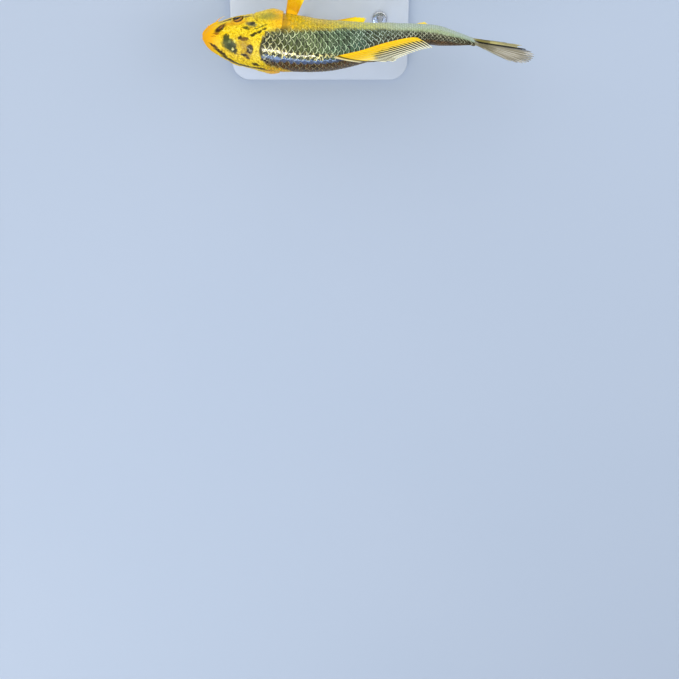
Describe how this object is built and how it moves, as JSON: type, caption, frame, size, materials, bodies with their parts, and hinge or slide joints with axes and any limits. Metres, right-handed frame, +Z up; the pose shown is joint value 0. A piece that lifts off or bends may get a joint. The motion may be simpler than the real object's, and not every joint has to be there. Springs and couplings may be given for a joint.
{
  "type": "koi carp display model",
  "caption": "Life-size koi carp swimming in a gentle turn, yellow head and net-scaled olive back, held over a flat base by short rods.",
  "frame": {"origin": "centre of the underside of the stand's base, on the floor", "axes": "+Z up, +X from the fish's head towards its tail, +Y to the fish's right side"},
  "size_m": [0.3017, 0.1262, 0.132],
  "materials": {
    "head_skin": "wet golden yellow skin with olive and dark brown blotches",
    "body_skin": "wet dark olive scales with pale green edges, yellow to pale green flanks",
    "fin_skin": "thin yellow fin web over cream rays",
    "eye": "clear and glossy over a dark pupil and a bronze iris",
    "stand_white": "plain satin white",
    "stand_steel": "satin steel"
  },
  "bodies": {
    "root": {"head": "head_skin", "lower_jaw": "head_skin", "gill_cover_left": "head_skin", "gill_cover_right": "head_skin", "eye_left": "eye", "eye_right": "eye", "barbel_front_left": "head_skin", "barbel_front_right": "head_skin", "barbel_rear_left": "head_skin", "barbel_rear_right": "head_skin", "trunk": "body_skin", "tail_stalk": "body_skin", "dorsal_fin": "fin_skin", "anal_fin": "fin_skin", "tail_fin_upper": "fin_skin", "tail_fin_lower": "fin_skin", "pectoral_fin_left": "fin_skin", "pectoral_fin_right": "fin_skin", "pelvic_fin_left": "fin_skin", "pelvic_fin_right": "fin_skin", "stand_base": "stand_white", "stand_rod_front": "stand_steel", "stand_rod_rear": "stand_steel"}
  },
  "joints": []
}
